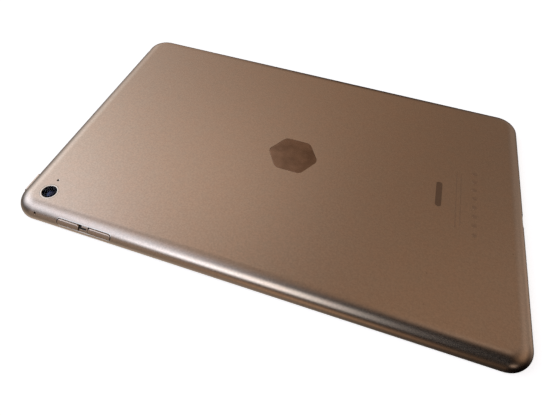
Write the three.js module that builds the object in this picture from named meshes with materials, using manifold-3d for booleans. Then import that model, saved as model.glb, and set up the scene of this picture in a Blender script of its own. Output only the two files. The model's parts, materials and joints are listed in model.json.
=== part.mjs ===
// A tablet computer: a one-piece aluminium rear case with rounded edges, a cover glass on the other
// side, and the display, battery, boards, buttons, sockets and speakers that the two hold between them.
//
// Millimetres. +X runs from the camera end to the charging end, -Y is the side with the volume
// buttons, and +Z points out of the aluminium back. The origin is the middle of the glass's outer face.

import * as THREE from "three";
import { mergeVertices } from "three/addons/utils/BufferGeometryUtils.js";
import Module from "manifold-3d";

const wasm = await Module();
wasm.setup();

// ---- Driving dimensions ----

// Outside of the case
const LENGTH = 203.2;
const WIDTH = 134.8;
const THICKNESS = 6.1;
const CORNER_R = 10.2;
const EDGE_INSET = 6.9; // the rounded edge reaches this far in from the outline
const EDGE_START = 0.9; // and starts at this height
const RIM_BASE = 0.1; // the metal rim stands this far behind the glass's face
const RIM_CHAMFER = 0.35;

// Hollow of the case
const BACK_SKIN = 0.8;
const SIDE_WALL = 2.0;
const HOLLOW_INSET = 5.5;
const HOLLOW_EDGE_START = 1.4;
const CEILING = THICKNESS - BACK_SKIN; // inner face of the back

// Cover glass and display
const GLASS_THICK = 0.75;
const GLASS_INSET = 1.05;
const SEAT_INSET = 0.8;
const SEAT_DEPTH = 0.98;
const GASKET_WIDTH = 1.4;
const PANEL = { length: 166, width: 123, thick: 0.6, radius: 1 };
const BACKPLATE_THICK = 0.2;
const STACK_GAP = 0.06; // air between the layers of the display

// Rear camera and microphones
const CAMERA = { x: -89, y: -56.2 };
const TRIM_OUTER_R = 3.7;
const TRIM_INNER_R = 3.1;
const CAMERA_BODY = { side: 8.6, height: 2.4, z: 2.7, floor: 0.6 };
const BARREL = { r: 2.1, height: 1.4, z: 3.65 };
const FRONT_CAMERA_X = -91;
const REAR_MIC = { x: -89.2, y: -49.7 };
const SIDE_MIC = { x: -89.7, z: 3.6 };
const MIC_HOLE_R = 0.45;

// Emblem let into the back
const EMBLEM_R = 11;
const EMBLEM_DEPTH = 0.3;

// Clearances between pieces that are fixed to each other
const FIT = 0.05; // round a piece let into a hole
const HAIR = 0.02; // between two faces that touch on the real object

// Side buttons
const TRAVEL = 0.3;
const POWER = { y: -52.5, z: 3, length: 9.8, height: 1.9, proud: 0.55 };
const VOLUME = { z: 3.25, length: 9.8, height: 1.8, proud: 0.25, upX: -74.45, downX: -60.5 };
const SLOT_GAP = 0.2; // running gap round a side button

// Home button
const HOME_X = 91;
const HOME_R = 5.3;
const HOME_GAP = 0.2;

// Sockets and speakers
const JACK = { y: 54.2, z: 2.85, r: 1.8 };
const PORT = { z: 3.1, length: 7.8, height: 2.5, bodyX0: 84.5, bodyX1: 96.2, earTop: 3.9, earBottom: 2.9 };
const SOUND_HOLES = { count: 12, pitch: 1.85, first: 12, r: 0.6, z: 3.1 };

// Boards and screws
const BOARD = { x0: -62, x1: 70, y0: -60.2, y1: -47, z0: 3.4, z1: 4.2 };
const SCREW_R = 0.55;
const SCREW_HEAD = { r: 1.1, thick: 0.45 };
const SCREW_SIDES = 12;
const POST_R = 1.4;

// Smoothness: half the steps of a quarter arc on the case and on small plates, the steps of the
// rounded edge, and the sides of a small and a large disc.
const CASE_ARC_STEPS = 4;
const PLATE_ARC_STEPS = 2;
const EDGE_STEPS = 7;
const DISC_SIDES = 20;
const WIDE_DISC_SIDES = 32;

// ---- Shapes ----

// A rectangle with round corners, centred on the origin.
function roundedRectangle(length, width, radius) {
  const x = length / 2 - radius;
  const y = width / 2 - radius;
  const shape = new THREE.Shape();
  shape.absarc(x, y, radius, 0, Math.PI / 2);
  shape.absarc(-x, y, radius, Math.PI / 2, Math.PI);
  shape.absarc(-x, -y, radius, Math.PI, Math.PI * 1.5);
  shape.absarc(x, -y, radius, Math.PI * 1.5, Math.PI * 2);
  shape.closePath();
  return shape;
}

// A flat plate with round corners that stands on z = 0.
function plate(length, width, radius, thickness, arcSteps = PLATE_ARC_STEPS) {
  return new THREE.ExtrudeGeometry(roundedRectangle(length, width, radius), {
    depth: thickness,
    bevelEnabled: false,
    curveSegments: arcSteps,
  });
}

// A plate whose outline runs parallel to the case's, `inset` inside it.
function insetPlate(inset, thickness) {
  return plate(LENGTH - 2 * inset, WIDTH - 2 * inset, CORNER_R - inset, thickness, CASE_ARC_STEPS);
}

// A block between two corners of a box.
function block(x0, y0, z0, x1, y1, z1) {
  const box = new THREE.BoxGeometry(x1 - x0, y1 - y0, z1 - z0);
  return box.translate((x0 + x1) / 2, (y0 + y1) / 2, (z0 + z1) / 2);
}

// A disc or rod that stands on z = 0.
function rod(radius, height, sides = DISC_SIDES) {
  const cylinder = new THREE.CylinderGeometry(radius, radius, height, sides);
  return cylinder.rotateX(Math.PI / 2).translate(0, 0, height / 2);
}

// A ring that stands on z = 0.
function ring(outer, inner, height) {
  const profile = [
    new THREE.Vector2(inner, 0),
    new THREE.Vector2(outer, 0),
    new THREE.Vector2(outer, height),
    new THREE.Vector2(inner, height),
    new THREE.Vector2(inner, 0),
  ];
  return new THREE.LatheGeometry(profile, WIDE_DISC_SIDES).rotateX(Math.PI / 2);
}

// A block whose back edge is a quarter ellipse: the flat back is `inset` smaller all round than the
// outline, which it meets at height `start`. Its underside is well below z = 0, for trimming.
function domedBlock({ length, width, radius, inset, start, top }) {
  const foot = 4;
  return new THREE.ExtrudeGeometry(roundedRectangle(length - 2 * inset, width - 2 * inset, radius - inset), {
    depth: start + foot,
    bevelSize: inset,
    bevelThickness: top - start,
    bevelSegments: EDGE_STEPS,
    curveSegments: CASE_ARC_STEPS,
  }).translate(0, 0, -foot);
}

// A long rounded bar that runs along +Y or +X through an edge wall, with its ends round.
function pillAlongY(length, height, depth) {
  return plate(length, height, height / 2 - 0.01, depth).rotateX(-Math.PI / 2);
}

function pillAlongX(length, height, depth) {
  return plate(height, length, height / 2 - 0.01, depth).rotateY(Math.PI / 2);
}

// ---- Joining and cutting ----

function toSolid(geometry) {
  const bare = geometry.clone();
  bare.deleteAttribute("normal");
  bare.deleteAttribute("uv");
  const merged = mergeVertices(bare, 1e-4);
  return new wasm.Manifold(
    new wasm.Mesh({
      numProp: 3,
      vertProperties: merged.attributes.position.array,
      triVerts: new Uint32Array(merged.index.array),
    }),
  );
}

function toGeometry(solid) {
  const { vertProperties, triVerts } = solid.getMesh();
  const geometry = new THREE.BufferGeometry();
  geometry.setAttribute("position", new THREE.BufferAttribute(vertProperties, 3));
  geometry.setIndex(new THREE.BufferAttribute(triVerts, 1));
  geometry.computeVertexNormals();
  return geometry;
}

function joined(...geometries) {
  return toGeometry(geometries.map(toSolid).reduce((whole, next) => whole.add(next)));
}

function cut(geometry, ...tools) {
  return toGeometry(tools.map(toSolid).reduce((whole, tool) => whole.subtract(tool), toSolid(geometry)));
}

function common(geometry, other) {
  return toGeometry(toSolid(geometry).intersect(toSolid(other)));
}

// ---- Finishes ----

const GOLD = { color: 0xb99d86, roughness: 0.38, metalness: 1 };
const POLISHED_GOLD = { color: 0xe2c7a8, roughness: 0.12, metalness: 1 };
const BRONZE_MIRROR = { color: 0x7a5a40, roughness: 0.1, metalness: 1 };
const BLACK_GLASS = { color: 0x05060a, roughness: 0.05, metalness: 0 };
const WHITE_GLASS = { color: 0xf2f0ec, roughness: 0.08, metalness: 0 };
const BLACK_PLASTIC = { color: 0x151515, roughness: 0.6, metalness: 0 };
const WHITE_PLASTIC = { color: 0xe9e6e0, roughness: 0.5, metalness: 0 };
const STEEL = { color: 0x9b9d9f, roughness: 0.35, metalness: 1 };
const BOARD_GREEN = { color: 0x16301f, roughness: 0.55, metalness: 0 };
const FOIL_GREY = { color: 0x4a4d50, roughness: 0.5, metalness: 0.3 };
const MAGNET_GREY = { color: 0x7d7f80, roughness: 0.3, metalness: 1 };
const AMBER_FILM = { color: 0x8a4b12, roughness: 0.4, metalness: 0 };

const tablet = new THREE.Group();

// Adds one named piece to the tablet, or to a group in it.
function addPiece(name, geometry, finish, position = [0, 0, 0], parent = tablet) {
  const mesh = new THREE.Mesh(geometry, new THREE.MeshStandardMaterial(finish));
  mesh.name = name;
  mesh.position.set(...position);
  parent.add(mesh);
}

// ---- Rear case ----

const OUTSIDE = {
  length: LENGTH,
  width: WIDTH,
  radius: CORNER_R,
  inset: EDGE_INSET,
  start: EDGE_START,
  top: THICKNESS,
};

const PORT_END = LENGTH / 2;
const CAMERA_END = -LENGTH / 2;
const VOLUME_SIDE = -WIDTH / 2;

const SCREW_MARGIN = 2.4; // from the board's edges to its screws
const BOARD_SCREWS = [
  [BOARD.x0 + SCREW_MARGIN, BOARD.y0 + SCREW_MARGIN],
  [BOARD.x0 + SCREW_MARGIN, BOARD.y1 - SCREW_MARGIN],
  [BOARD.x1 - SCREW_MARGIN, BOARD.y0 + SCREW_MARGIN],
  [BOARD.x1 - SCREW_MARGIN, BOARD.y1 - SCREW_MARGIN],
];
const PORT_SCREW_Y = 7.2;
const PORT_SCREWS = [
  [PORT.bodyX0 + 2.5, -PORT_SCREW_Y],
  [PORT.bodyX0 + 2.5, PORT_SCREW_Y],
];

function caseBlank() {
  const rim = new THREE.ExtrudeGeometry(
    roundedRectangle(LENGTH - 2 * RIM_CHAMFER, WIDTH - 2 * RIM_CHAMFER, CORNER_R - RIM_CHAMFER),
    {
      depth: THICKNESS,
      bevelSize: RIM_CHAMFER,
      bevelThickness: RIM_CHAMFER,
      bevelSegments: 1,
      curveSegments: CASE_ARC_STEPS,
    },
  ).translate(0, 0, RIM_BASE + RIM_CHAMFER);
  return common(domedBlock(OUTSIDE), rim);
}

function caseHollow() {
  return domedBlock({
    length: LENGTH - 2 * SIDE_WALL,
    width: WIDTH - 2 * SIDE_WALL,
    radius: CORNER_R - SIDE_WALL,
    inset: HOLLOW_INSET,
    start: HOLLOW_EDGE_START,
    top: CEILING,
  });
}

function glassSeat() {
  return insetPlate(SEAT_INSET, SEAT_DEPTH + 1).translate(0, 0, -1);
}

// The slot that both volume buttons share. Between them the wall is whole again, but for a small
// window whose upper half is shorter: a lip below it, a bridge above it and a post at its far end.
const VOLUME_POCKET = { x0: -82, x1: -53, y0: -64.4, y1: -62, z0: 1.6, z1: 4.6 };
const WINDOW = { left: -69.35, bridgeLeft: -68.4, right: -66.2, postRight: -65.6, low: 3.2, high: 3.7 };

function volumeSlot() {
  const middle = (VOLUME.upX + VOLUME.downX) / 2;
  const height = VOLUME.height + 2 * SLOT_GAP;
  const span = VOLUME.downX - VOLUME.upX + VOLUME.length + 2 * SLOT_GAP;
  const outer = pillAlongY(span, height, 6).translate(middle, VOLUME_SIDE - 1, VOLUME.z);
  const front = VOLUME_SIDE - 2;
  const back = VOLUME_POCKET.y0;
  const bottom = VOLUME.z - height;
  const top = VOLUME.z + height;
  const lip = block(WINDOW.left, front, bottom, WINDOW.postRight, back, WINDOW.low);
  const bridge = block(WINDOW.bridgeLeft, front, WINDOW.high, WINDOW.postRight, back, top);
  const post = block(WINDOW.right, front, bottom, WINDOW.postRight, back, top);
  const { x0, x1, y0, y1, z0, z1 } = VOLUME_POCKET;
  return joined(cut(outer, lip, bridge, post), block(x0, y0, z0, x1, y1, z1));
}

const POWER_POCKET = { x0: -99, x1: -96.5, y0: -59.2, y1: -45.8, z0: 1.4, z1: 4.2 };

function powerSlot() {
  const slot = pillAlongX(POWER.length + 2 * SLOT_GAP, POWER.height + 2 * SLOT_GAP, 4);
  const { x0, x1, y0, y1, z0, z1 } = POWER_POCKET;
  return joined(slot.translate(CAMERA_END - 1, POWER.y, POWER.z), block(x0, y0, z0, x1, y1, z1));
}

function portSlot() {
  return pillAlongX(PORT.length, PORT.height, 8).translate(PORT_END - 6, 0, PORT.z);
}

function jackHole() {
  return rod(JACK.r, 8)
    .rotateY(Math.PI / 2)
    .translate(CAMERA_END - 1, JACK.y, JACK.z);
}

// The row of round sound holes on one side of the charging port; side is -1 or 1.
function soundHoles(side) {
  const holes = [];
  for (let i = 0; i < SOUND_HOLES.count; i++) {
    const y = side * (SOUND_HOLES.first + i * SOUND_HOLES.pitch);
    const hole = rod(SOUND_HOLES.r, 6, 8).rotateY(Math.PI / 2);
    holes.push(hole.translate(PORT_END - 5, y, SOUND_HOLES.z));
  }
  return holes;
}

// A round hole through the flat back.
function backHole(radius, { x, y }, sides) {
  return rod(radius, 2 * BACK_SKIN + 1, sides).translate(x, y, CEILING - 0.5);
}

function sideMicrophoneHole() {
  return rod(MIC_HOLE_R, 5, 12)
    .rotateX(-Math.PI / 2)
    .translate(SIDE_MIC.x, VOLUME_SIDE - 1, SIDE_MIC.z);
}

function emblemPocket() {
  return emblemPlate(EMBLEM_R + FIT, EMBLEM_DEPTH + 1).translate(0, 0, THICKNESS - EMBLEM_DEPTH - HAIR);
}

// Screw posts that hang from the inside of the back, drilled for their screws.
function posts(places, foot) {
  return places.map(([x, y]) => rod(POST_R, CEILING + BACK_SKIN / 2 - foot, 16).translate(x, y, foot + HAIR));
}

function pilotHoles(places, foot) {
  return places.map(([x, y]) => rod(SCREW_R + FIT, CEILING - foot, SCREW_SIDES).translate(x, y, foot - 0.1));
}

function rearCase() {
  const shell = cut(caseBlank(), glassSeat(), caseHollow());
  const posted = joined(shell, ...posts(BOARD_SCREWS, BOARD.z1), ...posts(PORT_SCREWS, PORT.earTop));
  return cut(
    posted,
    backHole(TRIM_OUTER_R + FIT, CAMERA, WIDE_DISC_SIDES),
    backHole(MIC_HOLE_R, REAR_MIC, 12),
    sideMicrophoneHole(),
    emblemPocket(),
    volumeSlot(),
    powerSlot(),
    portSlot(),
    jackHole(),
    ...soundHoles(-1),
    ...soundHoles(1),
    ...pilotHoles(BOARD_SCREWS, BOARD.z1),
    ...pilotHoles(PORT_SCREWS, PORT.earTop),
  );
}

// A plain hexagon with well-rounded corners.
function emblemPlate(radius, thickness) {
  const cornerR = radius * 0.3;
  const reach = radius - cornerR;
  const shape = new THREE.Shape();
  for (let i = 0; i < 6; i++) {
    const angle = (i * Math.PI) / 3;
    const x = reach * Math.cos(angle);
    const y = reach * Math.sin(angle);
    shape.absarc(x, y, cornerR, angle - Math.PI / 6, angle + Math.PI / 6);
  }
  shape.closePath();
  return new THREE.ExtrudeGeometry(shape, {
    depth: thickness,
    bevelEnabled: false,
    curveSegments: PLATE_ARC_STEPS,
  });
}

addPiece("rear_case", rearCase(), GOLD);
addPiece(
  "emblem_inlay",
  emblemPlate(EMBLEM_R, EMBLEM_DEPTH),
  BRONZE_MIRROR,
  [0, 0, THICKNESS - EMBLEM_DEPTH - HAIR / 2],
);

// ---- Cover glass and display stack ----

function coverGlass() {
  const opening = rod(HOME_R + HOME_GAP, 3, WIDE_DISC_SIDES).translate(HOME_X, 0, -1);
  return cut(insetPlate(GLASS_INSET, GLASS_THICK), opening);
}

function glassGasket() {
  const inset = GLASS_INSET + 2 * FIT;
  const thickness = SEAT_DEPTH - GLASS_THICK - STACK_GAP;
  const opening = insetPlate(inset + GASKET_WIDTH, thickness + 2).translate(0, 0, -1);
  return cut(insetPlate(inset, thickness), opening);
}

// One layer of the display, `grow` larger all round than the panel.
function displayLayer(thickness, grow = 0) {
  return plate(PANEL.length + 2 * grow, PANEL.width + 2 * grow, PANEL.radius + grow, thickness);
}

const PANEL_Z = GLASS_THICK + STACK_GAP;
const BACKLIGHT_Z = PANEL_Z + PANEL.thick + STACK_GAP;
const BACKPLATE_Z = BACKLIGHT_Z + PANEL.thick + STACK_GAP;

addPiece("cover_glass", coverGlass(), WHITE_GLASS);
addPiece("glass_gasket", glassGasket(), BLACK_PLASTIC, [0, 0, GLASS_THICK + STACK_GAP / 2]);
addPiece("display_panel", displayLayer(PANEL.thick), BLACK_GLASS, [0, 0, PANEL_Z]);
addPiece("display_backlight", displayLayer(PANEL.thick), WHITE_PLASTIC, [0, 0, BACKLIGHT_Z]);
addPiece("display_backplate", displayLayer(BACKPLATE_THICK, 0.5), STEEL, [0, 0, BACKPLATE_Z]);

// ---- Rear camera, front camera, sensors and microphones ----

const cameraGroup = new THREE.Group();
cameraGroup.position.set(CAMERA.x, CAMERA.y, 0);
tablet.add(cameraGroup);

function trimRing() {
  const foot = CEILING + FIT;
  const top = THICKNESS - HAIR / 2;
  const bevel = 0.15;
  const profile = [
    new THREE.Vector2(TRIM_INNER_R, foot),
    new THREE.Vector2(TRIM_OUTER_R, foot),
    new THREE.Vector2(TRIM_OUTER_R, top),
    new THREE.Vector2(TRIM_INNER_R + bevel, top),
    new THREE.Vector2(TRIM_INNER_R, top - bevel),
    new THREE.Vector2(TRIM_INNER_R, foot),
  ];
  return new THREE.LatheGeometry(profile, WIDE_DISC_SIDES).rotateX(Math.PI / 2);
}

// The square camera housing, bored for the focusing barrel.
function cameraBody() {
  const { side, height, floor } = CAMERA_BODY;
  const runningGap = 0.2;
  return cut(plate(side, side, 0.6, height), rod(BARREL.r + runningGap, height).translate(0, 0, floor));
}

// The focusing barrel: a tube with a front lens seated a little below its lip.
function lensBarrel() {
  const { r, height } = BARREL;
  const mouthR = 1.5;
  const lensR = 1.3;
  const profile = [
    new THREE.Vector2(0, 0),
    new THREE.Vector2(r, 0),
    new THREE.Vector2(r, height),
    new THREE.Vector2(mouthR, height),
    new THREE.Vector2(lensR, height - 0.25),
    new THREE.Vector2(lensR / 2, height - 0.12),
    new THREE.Vector2(0, height - 0.08),
  ];
  return new THREE.LatheGeometry(profile, DISC_SIDES).rotateX(Math.PI / 2);
}

// The camera's window sits a little below the trim ring's lip.
const WINDOW_THICK = 0.5;
const WINDOW_Z = THICKNESS - WINDOW_THICK - 0.15;

function cameraWindow() {
  return rod(TRIM_INNER_R - STACK_GAP, WINDOW_THICK, WIDE_DISC_SIDES);
}

addPiece("camera_trim_ring", trimRing(), POLISHED_GOLD, [0, 0, 0], cameraGroup);
addPiece("camera_window", cameraWindow(), BLACK_GLASS, [0, 0, WINDOW_Z], cameraGroup);
addPiece("camera_body", cameraBody(), BLACK_PLASTIC, [0, 0, CAMERA_BODY.z], cameraGroup);
addPiece("camera_lens_barrel", lensBarrel(), BLACK_PLASTIC, [0, 0, BARREL.z], cameraGroup);

// A square camera module with its lens barrel towards the glass.
function frontCamera() {
  const side = 6;
  const barrelR = 1.5;
  const barrelHeight = 0.5;
  const body = plate(side, side, 0.4, 2.6).translate(0, 0, barrelHeight);
  return joined(body, rod(barrelR, barrelHeight + 0.1));
}

const BEHIND_GLASS = GLASS_THICK + 0.1;
const SENSOR_Y = 9;
const REAR_MIC_HEIGHT = 1;
const SIDE_MIC_HEIGHT = 1.5;

addPiece("front_camera", frontCamera(), BLACK_PLASTIC, [FRONT_CAMERA_X, 0, BEHIND_GLASS]);
addPiece("light_sensor", plate(2.4, 1.8, 0.2, 0.8), BLACK_PLASTIC, [FRONT_CAMERA_X, SENSOR_Y, BEHIND_GLASS]);
addPiece(
  "rear_microphone",
  plate(3.5, 2.6, 0.3, REAR_MIC_HEIGHT),
  STEEL,
  [REAR_MIC.x, REAR_MIC.y, CEILING - FIT - REAR_MIC_HEIGHT],
);
addPiece(
  "side_microphone",
  plate(3, 1.2, 0.2, SIDE_MIC_HEIGHT),
  STEEL,
  [SIDE_MIC.x, VOLUME_SIDE + 4.5, SIDE_MIC.z - SIDE_MIC_HEIGHT / 2],
);

// ---- Side buttons ----

// A side button's face follows the rounded edge and stands a little proud of it. A flange behind the
// wall keeps the button in.
const FLANGE_THICK = 0.4;
const FLANGE_OVERLAP = 0.6;
const FLANGE_HEIGHT = 1.9;
const POWER_FLANGE_X = POWER_POCKET.x0 + 0.2;
const VOLUME_FLANGE_Y = VOLUME_POCKET.y0 + 0.2;

// The outside of the case, grown by `proud` all round.
function proudCase(proud) {
  return domedBlock({
    ...OUTSIDE,
    length: LENGTH + 2 * proud,
    width: WIDTH + 2 * proud,
    radius: CORNER_R + proud,
    top: THICKNESS + proud,
  });
}

const BUTTON_REACH = 4.8; // the bar that a button is cut from reaches this far out of its flange

function volumeButton() {
  const bar = pillAlongY(VOLUME.length, VOLUME.height, 5).translate(0, -BUTTON_REACH, 0);
  const face = common(bar, proudCase(VOLUME.proud).translate(0, -VOLUME_FLANGE_Y, -VOLUME.z));
  const half = VOLUME.length / 2 + FLANGE_OVERLAP;
  return joined(face, block(-half, 0, -FLANGE_HEIGHT / 2, half, FLANGE_THICK, FLANGE_HEIGHT / 2));
}

function powerButton() {
  const bar = pillAlongX(POWER.length, POWER.height, 5).translate(-BUTTON_REACH, 0, 0);
  const face = common(bar, proudCase(POWER.proud).translate(-POWER_FLANGE_X, -POWER.y, -POWER.z));
  const half = POWER.length / 2 + FLANGE_OVERLAP;
  return joined(face, block(0, -half, -FLANGE_HEIGHT / 2, FLANGE_THICK, half, FLANGE_HEIGHT / 2));
}

// The dome switch behind a button, and the steel bracket that backs it.
const DOME_R = 1;
const DOME_THICK = 0.3;
const SWITCH_GAP = TRAVEL + FIT;
const BRACKET_THICK = 0.5;
const POWER_DOME_X = POWER_FLANGE_X + FLANGE_THICK + SWITCH_GAP;
const VOLUME_DOME_Y = VOLUME_FLANGE_Y + FLANGE_THICK + SWITCH_GAP;

// The steel strip behind the power button, as long as `half` each way.
function powerBracket(half) {
  return block(0, -half, -1.4, BRACKET_THICK, half, 1.1);
}

function volumeBracket(half) {
  return block(-half, 0, -1.1, half, BRACKET_THICK, 1.1);
}

addPiece("power_button", powerButton(), GOLD, [POWER_FLANGE_X, POWER.y, POWER.z]);
const powerDome = rod(DOME_R, DOME_THICK).rotateY(Math.PI / 2);
const powerBracketX = POWER_DOME_X + DOME_THICK + HAIR;
addPiece("power_switch", powerDome, STEEL, [POWER_DOME_X, POWER.y, POWER.z]);
addPiece("power_bracket", powerBracket(6.2), STEEL, [powerBracketX, POWER.y, POWER.z]);
for (const [label, x] of [
  ["up", VOLUME.upX],
  ["down", VOLUME.downX],
]) {
  const dome = rod(DOME_R, DOME_THICK).rotateX(-Math.PI / 2);
  addPiece("volume_" + label + "_button", volumeButton(), GOLD, [x, VOLUME_FLANGE_Y, VOLUME.z]);
  addPiece("volume_" + label + "_switch", dome, STEEL, [x, VOLUME_DOME_Y, VOLUME.z]);
}
addPiece(
  "volume_bracket",
  volumeBracket(13.5),
  STEEL,
  [(VOLUME.upX + VOLUME.downX) / 2, VOLUME_DOME_Y + DOME_THICK + HAIR, VOLUME.z],
);

// ---- Home button ----

const homeGroup = new THREE.Group();
homeGroup.position.set(HOME_X, 0, 0);
tablet.add(homeGroup);

const HOME_RING = { width: 0.65, height: 0.5, z: 0.12 };
const HOME_COVER = { gap: 0.1, thick: 0.4, z: 0.2 };
const HOME_CARRIER = { r: HOME_R - 0.5, thick: 0.5, flangeR: HOME_R + 0.8, flangeThick: 0.2, z: 0.65 };
const HOME_SWITCH = { r: 2, thick: 0.25 };
const HOME_SWITCH_Z = HOME_CARRIER.z + HOME_CARRIER.thick + SWITCH_GAP;
const HOME_BRACKET = { length: 13.5, width: 16, thick: 0.18, offset: 0.4 };

function homeCover() {
  return rod(HOME_R - HOME_RING.width - HOME_COVER.gap, HOME_COVER.thick, WIDE_DISC_SIDES);
}

function homeRing() {
  return ring(HOME_R, HOME_R - HOME_RING.width, HOME_RING.height);
}

function homeCarrier() {
  const { r, thick, flangeR, flangeThick } = HOME_CARRIER;
  return joined(rod(r, thick), rod(flangeR, flangeThick).translate(0, 0, thick / 2));
}

function homeBracket() {
  return plate(HOME_BRACKET.length, HOME_BRACKET.width, 1.5, HOME_BRACKET.thick);
}

const HOME_BRACKET_Z = HOME_SWITCH_Z + HOME_SWITCH.thick + HAIR;

addPiece("home_button_cover", homeCover(), WHITE_GLASS, [0, 0, HOME_COVER.z], homeGroup);
addPiece("home_button_ring", homeRing(), POLISHED_GOLD, [0, 0, HOME_RING.z], homeGroup);
addPiece("home_button_carrier", homeCarrier(), WHITE_PLASTIC, [0, 0, HOME_CARRIER.z], homeGroup);
const homeDome = rod(HOME_SWITCH.r, HOME_SWITCH.thick);
const homeBracketPlace = [HOME_BRACKET.offset, 0, HOME_BRACKET_Z];
addPiece("home_button_switch", homeDome, STEEL, [0, 0, HOME_SWITCH_Z], homeGroup);
addPiece("home_button_bracket", homeBracket(), STEEL, homeBracketPlace, homeGroup);

// ---- Sockets and speakers ----

// The jack's barrel, open at the wall and blind at its far end.
function headphoneJack() {
  const length = 11.8;
  const endWall = 0.8;
  const body = block(0, -3.2, -2, length, 3.2, 2.05);
  return cut(body, rod(JACK.r - HAIR, length).rotateY(Math.PI / 2).translate(-endWall, 0, 0));
}

// The port's shell with a screw ear on each side.
function chargingPort() {
  const { bodyX0, bodyX1, earBottom, earTop, z } = PORT;
  const endWall = 2.7;
  const body = block(bodyX0, -5.2, z - 1.05, bodyX1, 5.2, z + 1.85);
  const ears = block(bodyX0, -9, earBottom, bodyX0 + 5, 9, earTop);
  const mouth = pillAlongX(7, 1.8, bodyX1 - bodyX0).translate(bodyX0 + endWall, 0, z);
  return cut(joined(body, ears), mouth, ...screwHoles(PORT_SCREWS, earBottom));
}

// Clearance holes for screws, through whatever stands just above a height.
function screwHoles(places, bottom) {
  return places.map(([x, y]) => rod(SCREW_R + 2 * FIT, 3, SCREW_SIDES).translate(x, y, bottom - 1));
}

const SOUND_MIDDLE = SOUND_HOLES.first + ((SOUND_HOLES.count - 1) * SOUND_HOLES.pitch) / 2;
const SOUND_HALF_ROW = 10.5;
const DUCT = { x0: 93, x1: 97.4, wall: 0.2, halfHeight: 0.8, boreHalf: 9.8 };
const SPEAKER = { length: 10.5, width: 36, height: 2.7, x: 89.4, y: 29, z: 2.2 };
const MESH = { x: 97.7, thick: 0.2, halfWidth: 11.2, halfHeight: 0.85 };

// A speaker box with a sound duct that reaches to the row of holes; side is -1 or 1.
function speakerBox(side) {
  const middle = side * SOUND_MIDDLE;
  const { x0, x1, wall, halfHeight, boreHalf } = DUCT;
  const low = SOUND_HOLES.z - halfHeight;
  const high = SOUND_HOLES.z + halfHeight;
  const box = plate(SPEAKER.length, SPEAKER.width, 1.2, SPEAKER.height);
  const duct = block(x0, middle - SOUND_HALF_ROW, low, x1, middle + SOUND_HALF_ROW, high);
  const bore = block(x0 - 1, middle - boreHalf, low + wall, x1 + 1, middle + boreHalf, high - wall);
  return cut(joined(box.translate(SPEAKER.x, side * SPEAKER.y, SPEAKER.z), duct), bore);
}

function speakerMesh() {
  const { thick, halfWidth, halfHeight } = MESH;
  return block(0, -halfWidth, -halfHeight, thick, halfWidth, halfHeight);
}

addPiece("headphone_jack", headphoneJack(), BLACK_PLASTIC, [CAMERA_END + 5.3, JACK.y, JACK.z]);
addPiece("charging_port", chargingPort(), STEEL);
for (const [label, side] of [
  ["left", -1],
  ["right", 1],
]) {
  const meshPlace = [MESH.x, side * SOUND_MIDDLE, SOUND_HOLES.z];
  addPiece(label + "_speaker", speakerBox(side), BLACK_PLASTIC);
  addPiece(label + "_speaker_mesh", speakerMesh(), BLACK_PLASTIC, meshPlace);
}

// ---- Battery, boards, cables and magnets ----

const BATTERY = { length: 126, width: 100, height: 2.35, x: 4, y: 6.5, z: 2.7 };
const BOARD_Y = (BOARD.y0 + BOARD.y1) / 2;
const CAN = { width: 11, height: 0.74, skin: 0.12 };
const CAN_Z = BOARD.z0 - CAN.height - 0.04;
const CHIP_THICK = 0.5;
const CHIP_Z = BOARD.z0 - CHIP_THICK - FIT;
const PROCESSOR_X = -34;
const MEMORY_X = 2;
const RADIO_X = 34;
const CABLE = { width: 4, thick: 0.12 };
const ANTENNA = { length: 5, width: 22, thick: 0.8, x: -92.5, y: 30, z: 1.2 };
const MAGNET = { halfLength: 6, halfWidth: 1.2, height: 1.8, y: 61.8, z: 2.5 };
const MAGNET_ROW = { first: -60, pitch: 40, count: 4 };

function logicBoard() {
  const { x0, x1, y0, y1, z0, z1 } = BOARD;
  return cut(block(x0, y0, z0, x1, y1, z1), ...screwHoles(BOARD_SCREWS, z0));
}

// A thin folded shield can, open towards the board.
function shieldCan(length) {
  const { width, height, skin } = CAN;
  const outer = plate(length, width, 0.6, height);
  return cut(outer, plate(length - 2 * skin, width - 2 * skin, 0.6 - skin, height).translate(0, 0, skin));
}

// A flat cable that turns once: it runs in -X from (0, 0) to (dx, 0), then in -Y to (dx, dy).
function flatCable(dx, dy) {
  const { width, thick } = CABLE;
  const along = block(dx, -width / 2, 0, 0, width / 2, thick);
  if (dy === 0) return along;
  return joined(along, block(dx - width, dy, 0, dx, 0, thick));
}

function magnet() {
  const { halfLength, halfWidth, height } = MAGNET;
  return block(-halfLength, -halfWidth, 0, halfLength, halfWidth, height);
}

const batteryCell = plate(BATTERY.length, BATTERY.width, 2.5, BATTERY.height);
addPiece("battery_cell", batteryCell, FOIL_GREY, [BATTERY.x, BATTERY.y, BATTERY.z]);
const batteryBoard = block(-16, -0.7, -0.7, 16, 0.7, 0.7);
addPiece("battery_board", batteryBoard, BOARD_GREEN, [RADIO_X + 4, BOARD.y1 + 1.5, 3.9]);
addPiece("logic_board", logicBoard(), BOARD_GREEN);
for (const [name, length, x] of [
  ["processor_shield", 30, PROCESSOR_X],
  ["memory_shield", 26, MEMORY_X],
  ["radio_shield", 20, RADIO_X],
]) {
  addPiece(name, shieldCan(length), STEEL, [x, BOARD_Y, CAN_Z]);
}
addPiece("processor", plate(13, 9, 0.3, CHIP_THICK), BLACK_PLASTIC, [PROCESSOR_X, BOARD_Y, CHIP_Z]);
addPiece("memory", plate(14, 8, 0.3, CHIP_THICK), BLACK_PLASTIC, [MEMORY_X, BOARD_Y, CHIP_Z]);
addPiece("display_cable", plate(22, 14, 0.5, CABLE.thick), AMBER_FILM, [56, -46, 2.46]);
addPiece("camera_cable", flatCable(-21, 0), AMBER_FILM, [BOARD.x0 - 0.6, -57, 3.6]);
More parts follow.
